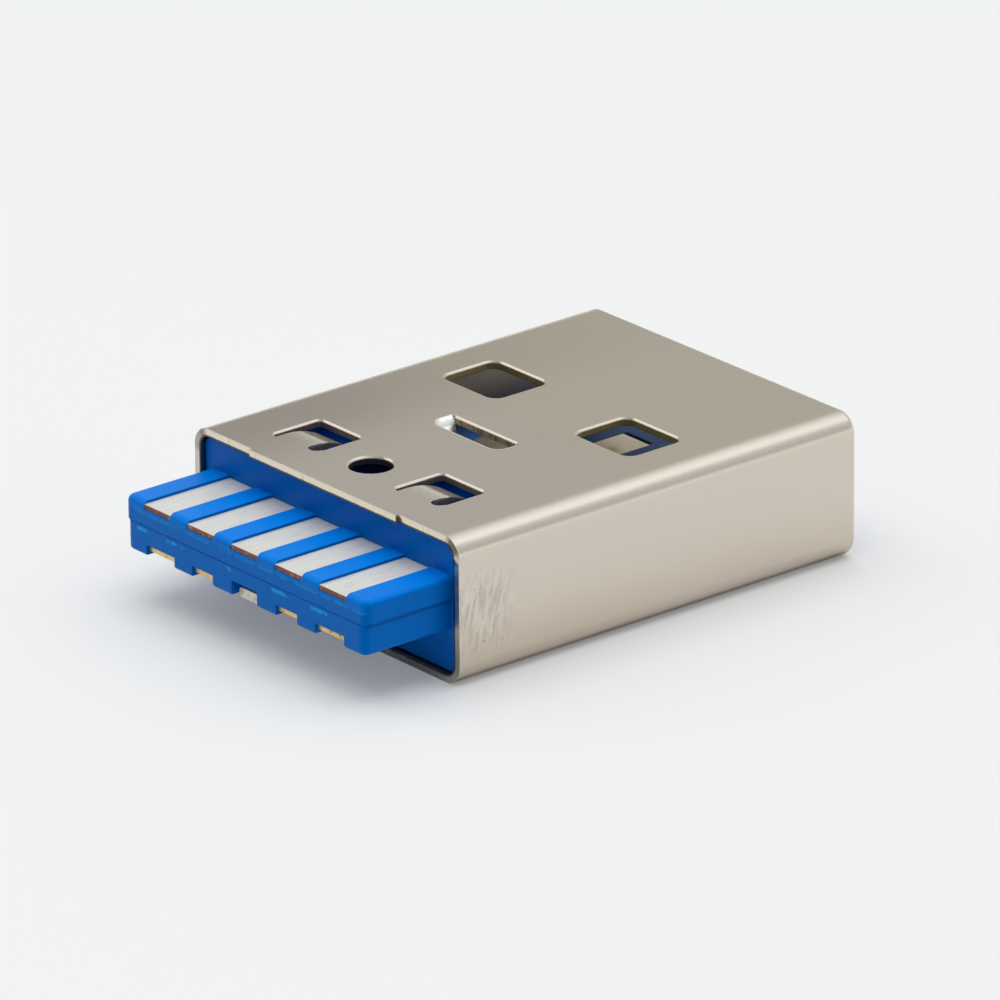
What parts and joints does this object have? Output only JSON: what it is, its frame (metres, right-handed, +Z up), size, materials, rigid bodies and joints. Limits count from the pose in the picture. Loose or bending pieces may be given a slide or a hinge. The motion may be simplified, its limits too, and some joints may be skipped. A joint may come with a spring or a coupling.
{
  "type": "usb-a plug",
  "caption": "Folded metal plug shell over a blue moulding in halves, with a forward tongue, spring and flat contacts, and a rear block of solder tails.",
  "frame": {"origin": "centre of the underside of the bounding box, on the surface that the plug lies on", "axes": "+Y along the plug towards its mouth, +X across the plug, +Z up out of the face with the round hole"},
  "size_m": [0.012, 0.018, 0.0045],
  "materials": {
    "plated_steel": "satin nickel plate",
    "blue_plastic": "moulded, slight sheen",
    "tinned_contact": "matt tin on the pad, gold at the spring",
    "gold_contact": "gold plate",
    "tinned_strip": "bright tin"
  },
  "bodies": {
    "root": {"shell": "plated_steel", "upper_housing": "blue_plastic", "lower_housing": "blue_plastic", "ground_tail": "tinned_strip", "spring_contact_1": "tinned_contact", "spring_contact_2": "tinned_contact", "spring_contact_3": "tinned_contact", "spring_contact_4": "tinned_contact", "spring_contact_5": "tinned_contact", "flat_contact_1": "gold_contact", "flat_contact_2": "gold_contact", "flat_contact_3": "gold_contact", "flat_contact_4": "gold_contact"}
  },
  "joints": []
}
